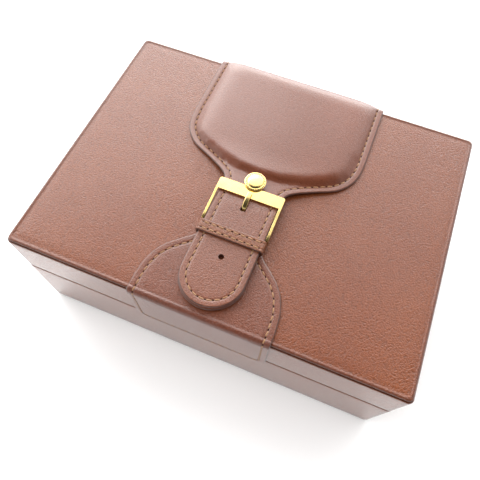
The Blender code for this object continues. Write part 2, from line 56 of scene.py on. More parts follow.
HINGE_X, HINGE_Y = 58.0, 66.2
TRIM_X = 0.5                        # the strap's middle line
STRAP_HALF, TIP_ROUND_Y = 14.1, -48.6
STITCH_PITCH, STITCH_IN = 3.35, 2.95
EDGE_SHADE_FROM, EDGE_SHADE_OVER = 3.4, 3.0     # where painted shade darkens the leather along the box's edges
UNDER_BAR_Y = -0.0058               # in metres, hidden under the buckle's bar


# ---------------------------------------- materials

def material(name, colour, rough, metal=0.0, **sockets):
    mat = bpy.data.materials.new(name)
    mat.use_nodes = True
    shader = mat.node_tree.nodes["Principled BSDF"]
    shader.inputs["Base Color"].default_value = (*colour, 1)
    shader.inputs["Roughness"].default_value = rough
    shader.inputs["Metallic"].default_value = metal
    for key, value in sockets.items():
        shader.inputs[key.replace("_", " ")].default_value = value
    return mat, mat.node_tree, shader


def add(tree, kind, **settings):
    node = tree.nodes.new(kind)
    for key, value in settings.items():
        if key in node.inputs:
            node.inputs[key].default_value = value
        else:
            setattr(node, key, value)
    return node


def place(tree):
    return add(tree, "ShaderNodeTexCoord").outputs["Object"]


def noise_tex(tree, at, scale, detail=3.0, rough=0.5):
    node = add(tree, "ShaderNodeTexNoise", Scale=scale, Detail=detail, Roughness=rough)
    tree.links.new(at, node.inputs["Vector"])
    return node.outputs["Fac"]


def cells(tree, at, scale, feature="F1"):
    node = add(tree, "ShaderNodeTexVoronoi", feature=feature, Scale=scale)
    tree.links.new(at, node.inputs["Vector"])
    return node.outputs["Distance"]


def math_node(tree, op, a, b, clamp=False):
    node = add(tree, "ShaderNodeMath", operation=op, use_clamp=clamp)
    for socket, value in zip(node.inputs, (a, b)):
        if isinstance(value, (int, float)):
            socket.default_value = value
        else:
            tree.links.new(value, socket)
    return node.outputs[0]


def ramp(tree, value, stops):
    node = add(tree, "ShaderNodeValToRGB")
    line = node.color_ramp
    while len(line.elements) < len(stops):
        line.elements.new(0.5)
    for element, (where, colour) in zip(line.elements, stops):
        element.position, element.color = where, (*colour, 1)
    tree.links.new(value, node.inputs["Fac"])
    return node.outputs["Color"]


def mix(tree, fac, a, b, blend="MIX"):
    node = add(tree, "ShaderNodeMix", data_type="RGBA", blend_type=blend)
    for socket, value in zip((node.inputs[0], node.inputs[6], node.inputs[7]), (fac, a, b)):
        if isinstance(value, (int, float)):
            socket.default_value = value
        elif isinstance(value, tuple):
            socket.default_value = (*value, 1)
        else:
            tree.links.new(value, socket)
    return node.outputs[2]


def bump(tree, shader, height, strength, distance):
    node = add(tree, "ShaderNodeBump", Strength=strength, Distance=distance)
    tree.links.new(height, node.inputs["Height"])
    tree.links.new(node.outputs["Normal"], shader.inputs["Normal"])


def edge_shade_mask(tree, at):
    """1 along the box's outer edges, where the colour is darkened as painted shade, and 0 elsewhere."""
    split = add(tree, "ShaderNodeSeparateXYZ")
    tree.links.new(at, split.inputs[0])
    near = []
    for socket, edge in zip(split.outputs, (W, D, H)):
        size = math_node(tree, "ABSOLUTE", socket, 0)
        past = math_node(tree, "SUBTRACT", size, (edge - EDGE_SHADE_FROM) * MM)
        near.append(math_node(tree, "MULTIPLY", past, 1 / (EDGE_SHADE_OVER * MM), True))
    pairs = [math_node(tree, "MULTIPLY", near[i], near[j]) for i, j in ((0, 1), (1, 2), (0, 2))]
    return math_node(tree, "MAXIMUM", math_node(tree, "MAXIMUM", pairs[0], pairs[1]), pairs[2])


def leather(name, light, dark, rough, grain=1250.0, depth=0.00034, strength=0.7, coat=0.4, gloss=0.2,
            grain_shade_amount=0.8, edge_shade=(0.60, 0.52, 0.52)):
    """Dyed calf: soft cloudy colour, a fine pebbled grain and fine mottling."""
    mat, tree, shader = material(name, light, rough, Coat_Weight=coat, Coat_Roughness=gloss)
    at = place(tree)
    cloud = noise_tex(tree, at, 22, 2, 0.5)
    fine = noise_tex(tree, at, 700, 4, 0.6)
    warp = add(tree, "ShaderNodeTexNoise", Scale=grain * 0.8, Detail=2.0)
    tree.links.new(at, warp.inputs["Vector"])
    bent = mix(tree, 0.0004, at, warp.outputs["Color"], "LINEAR_LIGHT")
    pebble = cells(tree, bent, grain, "SMOOTH_F1")
    crease = cells(tree, bent, grain * 0.66, "DISTANCE_TO_EDGE")
    tone = ramp(tree, cloud, [(0.25, dark), (0.78, light)])
    speck = ramp(tree, fine, [(0.30, (0.90, 0.88, 0.87)), (0.62, (1.03, 1.03, 1.03))])
    tone = mix(tree, 0.8, tone, speck, "MULTIPLY")
    # Painted highlight and shade of the grain: the pebbles' tops are lightened and the valleys between them
    # darkened.
    painted_grain_shade = ramp(tree, pebble, [(0.20, (1.16, 1.16, 1.16)), (0.75, (0.50, 0.46, 0.44))])
    tone = mix(tree, grain_shade_amount, tone, painted_grain_shade, "MULTIPLY")
    # Painted shade: the colour darkens towards the box's edges, standing in for the dark reflections there.
    tone = mix(tree, edge_shade_mask(tree, at), tone, mix(tree, 1.0, tone, edge_shade, "MULTIPLY"))
    tree.links.new(tone, shader.inputs["Base Color"])
    tree.links.new(math_node(tree, "ADD", math_node(tree, "MULTIPLY", fine, 0.14), rough - 0.07),
                   shader.inputs["Roughness"])
    furrow = ramp(tree, crease, [(0.0, (0, 0, 0)), (0.16, (1, 1, 1))])
    height = math_node(tree, "SUBTRACT", math_node(tree, "MULTIPLY", furrow, 0.55),
                       math_node(tree, "MULTIPLY", pebble, 1.1))
    height = math_node(tree, "ADD", height, math_node(tree, "MULTIPLY", fine, 0.4))
    bump(tree, shader, height, strength, depth)
    finish = add(tree, "ShaderNodeBump", Strength=strength * 0.14, Distance=depth)
    tree.links.new(height, finish.inputs["Height"])
    tree.links.new(finish.outputs["Normal"], shader.inputs["Coat Normal"])
    return mat


def patterned(made, pattern, stops, strength, depth):
    """Finish a material whose colour and relief follow one pattern."""
    mat, tree, shader = made
    tree.links.new(ramp(tree, pattern, stops), shader.inputs["Base Color"])
    bump(tree, shader, pattern, strength, depth)
    return mat


def plain_edge(name, colour, rough, coat=0.0, gloss=0.5):
    """Painted leather edge: smooth with slight waviness and darker rubbed spots."""
    made = material(name, colour, rough, Coat_Weight=coat, Coat_Roughness=0.2, Specular_IOR_Level=gloss)
    spot = noise_tex(made[1], place(made[1]), 600, 3)
    return patterned(made, spot, [(0.35, tuple(c * 0.72 for c in colour)), (0.6, colour)], 0.3, 0.0001)


def gold(name, colour=(0.90, 0.68, 0.27), rough=0.16):
    """Polished yellow plating with faint handling scratches."""
    mat, tree, shader = material(name, colour, rough, 1.0)
    at = place(tree)
    stretch = add(tree, "ShaderNodeMapping")
    stretch.inputs["Scale"].default_value = (1.0, 9.0, 9.0)
    tree.links.new(at, stretch.inputs["Vector"])
    lines = noise_tex(tree, stretch.outputs[0], 900, 3, 0.6)
    cloud = noise_tex(tree, at, 260, 3)
    tree.links.new(ramp(tree, cloud, [(0.3, tuple(c * 0.93 for c in colour)), (0.7, colour)]),
                   shader.inputs["Base Color"])
    tree.links.new(math_node(tree, "ADD", math_node(tree, "MULTIPLY", lines, 0.14), rough - 0.06),
                   shader.inputs["Roughness"])
    bump(tree, shader, lines, 0.08, 0.00004)
    return mat


def suede(name, light, dark):
    """Short-nap microsuede with brushed patches."""
    mat, tree, shader = material(name, light, 0.92, Sheen_Weight=0.45, Sheen_Roughness=0.45)
    at = place(tree)
    nap = noise_tex(tree, at, 2600, 4, 0.7)
    brushed = noise_tex(tree, at, 45, 4, 0.6)
    tone = ramp(tree, brushed, [(0.32, dark), (0.68, light)])
    fleck = ramp(tree, nap, [(0.3, (0.8, 0.79, 0.78)), (0.7, (1.06, 1.06, 1.06))])
    tone = mix(tree, 0.8, tone, fleck, "MULTIPLY")
    tree.links.new(tone, shader.inputs["Base Color"])
    bump(tree, shader, nap, 0.5, 0.0003)
    return mat


def fibreboard(name):
    """Raw board of pressed chips."""
    made = material(name, (0.45, 0.31, 0.18), 0.75)
    chips = noise_tex(made[1], place(made[1]), 900, 5, 0.7)
    return patterned(made, chips, [(0.3, (0.30, 0.19, 0.10)), (0.7, (0.52, 0.37, 0.23))], 0.4, 0.0002)


def foam(name):
    """Open-cell foam."""
    made = material(name, (0.74, 0.71, 0.62), 0.95)
    pores = cells(made[1], place(made[1]), 1500)
    return patterned(made, pores, [(0.1, (0.42, 0.39, 0.32)), (0.5, (0.76, 0.73, 0.65))], 0.6, 0.0004)


def nickel(name):
    """Dull nickel plating with small marks."""
    made = material(name, (0.62, 0.62, 0.64), 0.3, 1.0)
    marks = noise_tex(made[1], place(made[1]), 1500, 3)
    return patterned(made, marks, [(0.3, (0.52, 0.52, 0.54)), (0.7, (0.68, 0.68, 0.7))], 0.1, 0.00005)


def thread(name, colour):
    """Twisted waxed thread."""
    made = material(name, colour, 0.6, Sheen_Weight=0.2)
    strands = noise_tex(made[1], place(made[1]), 4200, 3, 0.6)
    return patterned(made, strands, [(0.3, tuple(c * 0.55 for c in colour)), (0.7, colour)], 0.5, 0.0001)


def satin(name, colour):
    """Woven ribbon with fine ribs."""
    made = material(name, colour, 0.42, Sheen_Weight=0.3)
    wave = add(made[1], "ShaderNodeTexWave", Scale=1500, Distortion=0.6, Detail=1.0)
    made[1].links.new(place(made[1]), wave.inputs["Vector"])
    stops = [(0.2, tuple(c * 0.8 for c in colour)), (0.8, colour)]
    return patterned(made, wave.outputs["Fac"], stops, 0.3, 0.0001)


TAN, TAN_DARK = (0.180, 0.047, 0.0125), (0.145, 0.034, 0.0085)
BODY = leather("body_leather", TAN, TAN_DARK, 0.38, grain=1400, strength=0.6, grain_shade_amount=0.6)
WALL = leather("wall_leather", TAN, TAN_DARK, 0.38, grain=1400, strength=0.6, coat=0.78, grain_shade_amount=0.6)
TRIM = leather("trim_leather", (0.155, 0.041, 0.017), (0.120, 0.031, 0.012), 0.34, grain=1600, strength=0.5,
               coat=0.50, gloss=0.13, grain_shade_amount=0.55, edge_shade=(0.80, 0.74, 0.74))
FLAP = leather("flap_leather", (0.150, 0.039, 0.016), (0.120, 0.031, 0.012), 0.32, grain=1600, strength=0.26,
               coat=0.40, gloss=0.19, grain_shade_amount=0.36, edge_shade=(0.80, 0.74, 0.74))
# A lighter copy of the trim leather for the strap: painted light, since the raised strap catches more light
# than the apron.
STRAP_LIT = leather("strap_leather_lit", (0.170, 0.050, 0.022), (0.135, 0.038, 0.016), 0.36, grain=1500, strength=0.5,
                coat=0.60, gloss=0.26, grain_shade_amount=0.55)
# A lighter, warmer copy of the trim leather for the keeper: painted light for how light falls on the keeper's
# facing.
KEEPER_LIT = leather("keeper_leather_lit", (0.200, 0.062, 0.021), (0.155, 0.046, 0.015), 0.40, grain=1600)
# Edge paint, made darker also as painted shade along the trims' edges.
EDGE_PAINT_AND_SHADE = plain_edge("edge_paint_and_shade", (0.092, 0.037, 0.026), 0.35, 0.45)
# A near-black disc at each needle hole: painted shade standing in for the hole.
HOLE_SHADE = plain_edge("needle_hole_shade", (0.022, 0.009, 0.006), 0.8, gloss=0.1)
THREAD = thread("ochre_thread", (0.34, 0.175, 0.076))
GOLD = gold("gold_plate")
BRASS = gold("hinge_brass", (0.80, 0.60, 0.28), 0.26)
SUEDE = suede("cream_suede", (0.47, 0.38, 0.26), (0.41, 0.325, 0.22))
BOARD = fibreboard("fibreboard")
FOAM = foam("open_foam")
NICKEL = nickel("nickel")
RIBBON = satin("ribbon_satin", (0.20, 0.065, 0.028))


# ---------------------------------------- mesh helpers

def piece(name, points, faces, mats, body, replaces=(), slots=None, smooth=60):
    """A closed mesh from points in millimetres. slots gives a material index for each face."""
    mesh = bpy.data.meshes.new(name)
    mesh.from_pydata([Vector(p) * MM for p in points], [], faces)
    for mat in mats:
        mesh.materials.append(mat)
    if slots:
        for polygon, index in zip(mesh.polygons, slots):
            polygon.material_index = index
    bm = bmesh.new()
    bm.from_mesh(mesh)
    bmesh.ops.recalc_face_normals(bm, faces=bm.faces)
    bm.to_mesh(mesh)
    bm.free()
    mesh.shade_smooth()
    mesh.set_sharp_from_angle(angle=math.radians(smooth))
    obj = bpy.data.objects.new(name, mesh)
    bpy.context.scene.collection.objects.link(obj)
    obj["body"] = body
    if replaces:
        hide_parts(*replaces)
    return obj


def ride(obj):
    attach(obj, obj["body"])


def band(first, count, second=None):
    second = first + count if second is None else second
    return [(first + i, first + (i + 1) % count, second + (i + 1) % count, second + i) for i in range(count)]


def stacked(points, rows, first=0):
    """The faces of a closed stack of equal loops: walls between them, and a cap at each end."""
    n = (len(points) - first) // rows
    walls = [f for k in range(rows - 1) for f in band(first + k * n, n)]
    return walls + [tuple(range(first, first + n)), tuple(range(len(points) - n, len(points)))]


def stack(name, points, rows, mat, body, replaces, smooth):
    """A closed stack of equal loops in one material."""
    return piece(name, points, stacked(points, rows), (mat,), body, replaces, None, smooth)


def circle(cx, cy, r, count):
    turns = [2 * math.pi * j / count for j in range(count)]
    return [(cx + r * math.cos(a), cy + r * math.sin(a)) for a in turns]


def arc(cx, cy, r, degrees):
    return [(cx + r * math.cos(math.radians(a)), cy + r * math.sin(math.radians(a))) for a in degrees]


def rounded(half_x, half_y, radius, steps=10, side=14):
    """A rounded rectangle with points along its sides too."""
    def corner(quarter, degrees):
        cx, cy = ((1, 1), (-1, 1), (-1, -1), (1, -1))[quarter]
        a = math.radians(degrees)
        return cx * (half_x - radius) + radius * math.cos(a), cy * (half_y - radius) + radius * math.sin(a)

    out = []
    for k in range(4):
        out += [corner(k, 90 * k + 90 * i / steps) for i in range(steps + 1)]
        goal = corner((k + 1) % 4, 90 * ((k + 1) % 4))
        last = out[-1]
        for i in range(1, side):
            t = i / side
            out.append((last[0] + (goal[0] - last[0]) * t, last[1] + (goal[1] - last[1]) * t))
    return out


def between(table, at):
    if at >= table[0][0]:
        return table[0][1]
    for (p0, v0), (p1, v1) in zip(table, table[1:]):
        if at >= p1:
            return v0 + (v1 - v0) * (p0 - at) / (p0 - p1)
    return table[-1][1]


def smooth_between(table, at, width):
    return sum(between(table, at + width * k / 3) for k in range(-3, 4)) / 7


def ease(t):
    t = min(max(t, 0.0), 1.0)
    return t * t * (3 - 2 * t)


def path_point(s, lift, wall):
    """The skin line of the lid: along the top to the edge, round it, and down the wall."""
    turn = 1.0
    side = 1 if wall == "back" else -1
    past = side * s - (D - turn)
    if past <= 0:
        return s, H + lift
    round_it = turn * math.pi / 2
    if past < round_it:
        a = past / turn
        return side * (D - turn + (turn + lift) * math.sin(a)), H - turn + (turn + lift) * math.cos(a)
    return side * (D + lift), H - turn - (past - round_it)


def resample(points, step):
    """A closed polyline at even steps."""
    total, lengths = 0.0, [0.0]
    ring = points + points[:1]
    for a, b in zip(ring, ring[1:]):
        total += math.dist(a, b)
        lengths.append(total)
    count, out, k = max(int(total / step), 8), [], 0
    for i in range(count):
        at = total * i / count
        while lengths[k + 1] < at:
            k += 1
        t = (at - lengths[k]) / max(lengths[k + 1] - lengths[k], 1e-9)
        out.append(tuple(a + (b - a) * t for a, b in zip(ring[k], ring[k + 1])))
    return out


def relaxed(points, rounds):
    for _ in range(rounds):
        n = len(points)
        points = [((points[i - 1][0] + 2 * points[i][0] + points[(i + 1) % n][0]) / 4,
                   (points[i - 1][1] + 2 * points[i][1] + points[(i + 1) % n][1]) / 4) for i in range(n)]
    return points


def inset(points, d):
    """The closed counter-clockwise loop moved inwards by d."""
    n, out = len(points), []
    for i in range(n):
        ax, ay = points[i - 1]
        bx, by = points[(i + 1) % n]
        size = math.hypot(bx - ax, by - ay) or 1.0
        out.append((points[i][0] - (by - ay) / size * d, points[i][1] + (bx - ax) / size * d))
    return out


def inside(x, y, loop):
    hit = False
    for (x0, y0), (x1, y1) in zip(loop, loop[1:] + loop[:1]):
        if (y0 > y) != (y1 > y) and x < (x1 - x0) * (y - y0) / (y1 - y0) + x0:
            hit = not hit
    return hit


RINGS = (0.0, 0.12, 0.35, 0.7, 1.3, 2.0, 2.45, 2.75, 2.95, 3.15, 3.5, 4.2)
FOLD = [D - 2.4 + 0.3 * k for k in range(12)]


def groove(d, at=STITCH_IN):
    """Height change across a stitched leather edge, d from the rim."""
    rim = -0.34 * (1 - ease(d / 0.45)) ** 1.5
    return rim - 0.26 * math.exp(-((d - at) / 0.42) ** 2)


def hide(name, outline, lower, thick, wall, body, replaces, mats=(TRIM, EDGE_PAINT_AND_SHADE), holes=(), grid=1.7, step=0.8,
         rings=RINGS, at=STITCH_IN, extra=lambda x, s: 0.0, slot="trim_leather", folds=()):
    """A stitched leather piece from its flat outline, laid along the lid's skin line.

    The edge zone is rings parallel to the rim. The rest is a triangulated field, with closer rows at the
    folds. Holes are closed loops.
    """
    loop = relaxed(resample(outline, step), 3)
    n = len(loop)
    flat, depth = [], []
    for d in rings:
        flat += inset(loop, d)
        depth += [d] * n
    top_faces = [f for k in range(len(rings) - 1) for f in band(k * n, n)]
    core = flat[-n:]
    field = list(core)
    xs = [p[0] for p in core]
    ys = [p[1] for p in core]
    guard = inset(core, grid * 0.6)
    row = 0
    y = min(ys)
    kept_clear = list(hole_circles(holes))
    while y < max(ys):
        x = min(xs) + (grid / 2 if row % 2 else 0)
        by_fold = any(abs(y - f) < 0.5 for f in folds)
        while x < max(xs):
            by_hole = any(math.dist((x, y), (hx, hy)) < hr + grid * 0.5 for hx, hy, hr in kept_clear)
            if inside(x, y, guard) and not by_hole and not by_fold:
                field.append((x, y))
            x += grid
        y += grid * 0.87
        row += 1
    for row, y in enumerate(folds):
        x = min(xs) + 0.6 * (row % 2)
        while x < max(xs):
            if inside(x, y, guard):
                field.append((x, y))
            x += 1.2
    edges = [(i, (i + 1) % n) for i in range(n)]
    starts = []
    for h in holes:
        first = len(field)
        starts.append((first, len(h)))
        field += h
        edges += [(first + i, first + (i + 1) % len(h)) for i in range(len(h))]
    verts, _, faces, origin, _, _ = geometry.delaunay_2d_cdt([Vector(p) for p in field], edges, [], 1, 1e-6)
    base = len(flat) - n
    where = []
    for k, source in enumerate(origin):
        if source and source[0] < n:
            where.append(base + source[0])
        else:
            where.append(len(flat))
            flat.append((verts[k].x, verts[k].y))
            depth.append(99.0)
    kept = []
    for f in faces:
        cx = sum(verts[i].x for i in f) / len(f)
        cy = sum(verts[i].y for i in f) / len(f)
        if not any(inside(cx, cy, h) for h in holes):
            kept.append(tuple(where[i] for i in f))
    top_faces += kept
    total = len(flat)
    up, down = [], []
    for (x, s), d in zip(flat, depth):
        low = lower(x, s)
        y, z = path_point(s, low + thick(s) + groove(d, at) + extra(x, s), wall)
        up.append((x, y, z))
        y, z = path_point(s, low + (0.12 if d < 0.1 else 0.0), wall)
        down.append((x, y, z))
    # The rim bulges a little: its middle row stands 0.06 mm out.
    mid = []
    for (x, s), (out_x, out_s) in zip(loop, inset(loop, -0.06)):
        y = path_point(out_s, lower(x, s) + thick(s) * 0.45, wall)[0]
        mid.append((out_x, y, path_point(s, lower(x, s) + thick(s) * 0.5, wall)[1]))
    points = up + down + mid
    sides = band(0, n, 2 * total) + band(2 * total, n, total)
    bottom = [tuple(total + i for i in f[::-1]) for f in top_faces]
    holes_faces = []
    index_of = {}
    for k, source in enumerate(origin):
        if source:
            index_of[source[0]] = where[k]
    for first, count in starts:
        ringed = [index_of[first + i] for i in range(count)]
        holes_faces += [(a, b, total + b, total + a) for a, b in zip(ringed, ringed[1:] + ringed[:1])]
    edge_zone = n * 2  # the two outermost rings of faces take the edge paint, which is darkened with painted shade
    slots = [1 if i < edge_zone else 0 for i in range(len(top_faces))] + [1] * len(sides)
    slots += [0] * len(bottom) + [1] * len(holes_faces)
    faces = top_faces + sides + bottom + holes_faces
    return piece(name, points, faces, mats, body, replaces, slots, 75), loop


def hole_circles(loops):
    for h in loops:
        cx, cy = sum(p[0] for p in h) / len(h), sum(p[1] for p in h) / len(h)
        yield cx, cy, max(math.dist((cx, cy), p) for p in h)


def stitches(name, runs, body):
    """Thread laid as separate stitches. A run is a list of (point, normal) along the seam, in millimetres."""
    points, faces, slots = [], [], []
    around, along = 8, 6
    for run in runs:
        lengths = [0.0]
        for (a, _), (b, _) in zip(run, run[1:]):
            lengths.append(lengths[-1] + (Vector(b) - Vector(a)).length)
        count = max(1, round(lengths[-1] / STITCH_PITCH))
        pitch = lengths[-1] / count

        def at(distance):
            k = 0
            while k < len(lengths) - 2 and lengths[k + 1] < distance:
                k += 1
            t = (distance - lengths[k]) / max(lengths[k + 1] - lengths[k], 1e-9)
            p = Vector(run[k][0]).lerp(Vector(run[k + 1][0]), t)
            return p, Vector(run[k][1]).lerp(Vector(run[k + 1][1]), t).normalized()

        for c in range(count):
            p0, n0 = at((c + 0.12) * pitch)
            p1, n1 = at((c + 0.88) * pitch)
            pm, nm = at((c + 0.5) * pitch)
            direction = (p1 - p0).normalized()
            across = direction.cross(nm).normalized()
            slant = across * 0.10
            first = len(points)
            for i in range(along + 1):
                t = i / along
                p = p0.lerp(p1, t) + (pm - (p0 + p1) / 2) * (1 - (2 * t - 1) ** 2) + slant * (2 * t - 1)
                size = 0.30 * math.sqrt(max(1 - (2 * t - 1) ** 6, 0.0)) + 0.03
                lift = 0.10 * (1 - (2 * t - 1) ** 2) - 0.10
                for j in range(around):
                    a = 2 * math.pi * j / around
                    points.append(p + across * (size * math.cos(a)) + nm * (lift + size * 0.85 * math.sin(a)))
            faces += stacked(points, along + 1, first)
            slots += [0] * (along * around + 2)
            # At each end of a stitch a dark disc covers the needle hole: painted shade.
            for p, n, way in ((p0, n0, -1), (p1, n1, 1)):
                first = len(points)
                middle = p + direction * (way * 0.24)
                side = direction.cross(n).normalized()
                for r, h in ((0.28, 0.03), (0.19, 0.04), (0.28, -0.3)):
                    points += [middle + direction * a + side * b + n * h for a, b in circle(0, 0, r, around)]
                faces += band(first, around) + band(first, around, first + 2 * around)
                faces += [tuple(range(first + around, first + 2 * around)),
                          tuple(range(first + 2 * around, first + 3 * around))]
                slots += [1] * (2 * around + 2)
    return piece(name, points, faces, (THREAD, HOLE_SHADE), body, (), slots, 80)


def seam(loop, keep, lower, thick, wall, d=STITCH_IN, extra=lambda x, s: 0.0):
    """The parts of a loop's stitch line that keep(x, s) accepts, as runs for stitches()."""
    line = inset(loop, d)
    flags = [keep(x, s) for x, s in line]
    if all(flags):
        runs = [list(range(len(line))) + [0]]
    else:
        start = next(i for i in range(len(line)) if flags[i] and not flags[i - 1])
        runs, current = [], []
        for k in range(len(line) + 1):
            i = (start + k) % len(line)
            if flags[i] and k < len(line):
                current.append(i)
            elif current:
                runs.append(current)
                current = []
    out = []
    for run in runs:
        if len(run) < 6:
            continue
        row = []
        for i in run:
            x, s = line[i]
            h = lower(x, s) + thick(s) + groove(d, d) + extra(x, s) + 0.10
            y, z = path_point(s, h, wall)
            y2, z2 = path_point(s, h + 1, wall)
            row.append(((x, y, z), (0.0, y2 - y, z2 - z)))
        out.append(row)
    return out


# ---------------------------------------- trim shapes

FLAP_HALF = [(30, 43.8), (24.2, 43.2), (19.5, 42.0), (15.2, 39.4), (10.9, 35), (8.4, 30), (5.9, 25),
             (3.1, 20.2), (1.0, 16.9), (-1.0, 14.9), (-3.5, STRAP_HALF)]
APRON_HALF = [(-29.8, 12), (-31, 14), (-33.5, 16.2), (-36, 19.4), (-41, 25.0), (-46, 28.6), (-53, 30.9),
              (-60, 31.5)]
STRAP_UNDER = [(16, 0.3), (11, 0.6), (7, 1.1), (3, 1.7), (0, 2.1), (-3, 2.4), (-8.7, 2.95), (-13, 3.5),
               (-37, 3.5), (-44, 3.55), (-52, 3.6)]
DOME = [(-40.4, 64.5), (-40.4, 30), (-39.2, 21), (-36, 16.2), (-30, 12.0), (-20, 7.6), (-10, 5.0), (0, 4.2),
        (10, 5.0), (20, 7.6), (30, 12.0), (36, 16.2), (39.2, 21), (40.4, 30), (40.4, 64.5)]


def dome_depth(x, y):
    """How far a point of the flap lies behind the padding's curved front edge."""
    nearest = 1e9
    for (x0, y0), (x1, y1) in zip(DOME[1:-2], DOME[2:-1]):
        t = ((x - x0) * (x1 - x0) + (y - y0) * (y1 - y0)) / ((x1 - x0) ** 2 + (y1 - y0) ** 2)
        t = min(max(t, 0.0), 1.0)
        nearest = min(nearest, math.hypot(x - x0 - t * (x1 - x0), y - y0 - t * (y1 - y0)))
    return nearest if y > 30 or inside(x, y, DOME) else 0.0


def crown(t):
    """Steep at 0 and level by 1, like leather drawn over foam."""
    return 1 - (1 - min(max(t, 0.0), 1.0)) ** 3


def flap_lower(x, s):
    base = smooth_between(STRAP_UNDER, s, 2.5)
    if s < 3.5 or s > 67:
        return base
    front = 4.6 + 2.2 * ease((x + 5) / 35)
    back = math.sqrt(1 - (1 - min((67 - s) / 9.5, 1)) ** 2)
    return base + 3.0 * crown(dome_depth(x, s) / front) * crown((40.9 - abs(x)) / 14) * back


def flap_thick(s):
    return 0.9 + 0.2 * ease((12 - s) / 12)


def flap_centre(s):
    return TRIM_X * ease((20 - s) / 20)


def flap_extra(x, s):
    """Creases across the front slope, where the leather is gathered round the foam."""
    if s < 4 or s > 30:
        return 0.0
    slope = math.exp(-((dome_depth(x, s) - 1.5) / 2.2) ** 2)
    n = noise.noise(Vector((x * 0.55, s * 0.18, 3.1))) + 0.6 * noise.noise(Vector((x * 1.2, s * 0.4, 7.7)))
    return 0.10 * slope * n


def strap_outline(top):
    """The flap and strap in one flat shape, from the flap's back edge at y = top to the round tip."""
    stations = []
    s = top
    while s > TIP_ROUND_Y:
        stations.append(s)
        s -= 3.0 if s > 31 else 0.75
    corner = arc(43.8 - 5, top - 5, 5, range(0, 91, 15))
    body = [s for s in stations if s < top - 5]
    right = [(flap_centre(s) + smooth_between(FLAP_HALF, s, 1.2), s) for s in body]
    left = [(flap_centre(s) - smooth_between(FLAP_HALF, s, 1.2), s) for s in body]
    tip = arc(TRIM_X, TIP_ROUND_Y, STRAP_HALF, range(-176, -3, 4))
    return left + tip + right[::-1] + corner + [(-x, y) for x, y in corner[::-1]]


def slot_loop(cx, y0, y1, r, count=10):
    """A slot with round ends, counter-clockwise."""
    turns = [math.pi * i / count for i in range(count + 1)]
    top = [(cx + r * math.cos(a), y1 - r + r * math.sin(a)) for a in turns]
    return top + [(cx - r * math.cos(a), y0 + r - r * math.sin(a)) for a in turns]


HOLES = (circle(TRIM_X, -40.2, 1.25, 28), [(TRIM_X + x, y - 14.6) for x, y in rounded(1.3, 2.0, 0.5, 5, 3)])


def build_strap():
    outline = strap_outline(D + 14)
    strap, loop = hide("flap_and_strap", outline, flap_lower, flap_thick, "back", "lid",
                       ("flap_leather", "strap_tip_leather"), (FLAP, EDGE_PAINT_AND_SHADE, STRAP_LIT), HOLES, 1.3, 0.6,
                       extra=flap_extra, folds=FOLD)
    # The strap's leather starts under the buckle's bar; from there the strap takes a lighter copy of the trim
    # leather, painted light.
    for polygon in strap.data.polygons:
        if polygon.material_index == 0 and polygon.center.y < UNDER_BAR_Y:
            polygon.material_index = 2
    runs = seam(loop, lambda x, s: s < D + 10, flap_lower, flap_thick, "back", extra=flap_extra)
    sewn = stitches("flap_and_strap_thread", runs, "lid")

    def low(x, s):
        return smooth_between(STRAP_UNDER, s, 2.5) - 1.12

    stations = [-1 - 0.8 * k for k in range(59) if -1 - 0.8 * k > TIP_ROUND_Y]
    right = [(TRIM_X + min(smooth_between(FLAP_HALF, s, 1.2), 14.6), s) for s in stations]
    left = [(2 * TRIM_X - x, s) for x, s in right]
    tip = arc(TRIM_X, TIP_ROUND_Y - 0.45, STRAP_HALF + 0.2, range(-176, -3, 4))
    # Its slot is longer than the strap's, so the prong can tilt under the strap.
    lining, _ = hide("strap_lining", left + tip + right[::-1], low, lambda s: 0.95, "back", "lid",
                     ("strap_root_lining", "strap_tip_lining"),
                     holes=(HOLES[0], slot_loop(TRIM_X, -23.0, -12.2, 1.6)),
                     rings=(0, 0.12, 0.35, 0.8, 2.0), at=-9)
    for obj in (strap, sewn, lining):
        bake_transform(obj)


def build_apron():
    end = -(D + 29.4)
    stations = [end + 5 + 1.5 * k for k in range(80) if end + 5 + 1.5 * k < -29.8] + [-29.8]
    mid = TRIM_X + 0.4
    corner = arc(mid + 31.5 - 5, end + 5, 5, range(-90, 1, 15))
    right = [(mid + smooth_between(APRON_HALF, s, 1.0), s) for s in stations]
    left = [(2 * mid - x, s) for x, s in right]
    outline = corner + right + left[::-1] + [(2 * mid - x, s) for x, s in corner[::-1]]

    def ridge(x, s):
        """The leather stands up a little where it folds over the lid's front edge."""
        high = 0.24 + 0.08 * noise.noise(Vector((x * 0.35, 0.0, 5.0)))
        return high * math.exp(-((s + D - 1.15) / 0.42) ** 2) - 0.12 * math.exp(-((s + D - 2.1) / 0.7) ** 2)

    shape = (lambda x, s: 0.3, lambda s: 0.9, "front")
    apron, loop = hide("apron", outline, *shape, "lid", ("apron_leather",), grid=2.0, step=0.45, extra=ridge,
                       folds=[-f for f in FOLD])
    ride(apron)
    ride(stitches("apron_thread", seam(loop, lambda x, s: s < -33.2, *shape, extra=ridge), "lid"))


def swept_loop(name, path, section, mats, body, replaces, slots_of):
    """A closed path of (position, outward normal, along) frames with a section of (out, side) points."""
    points = [position + out * a + side * b for position, out, side in path for a, b in section]
    n, count = len(path), len(section)
    faces = [f for k in range(n) for f in band(k * count, count, (k + 1) % n * count)]
    slots = [slots_of(p, q) for p, q in zip(section, section[1:] + section[:1])] * n
    return piece(name, points, faces, mats, body, replaces, slots, 70)


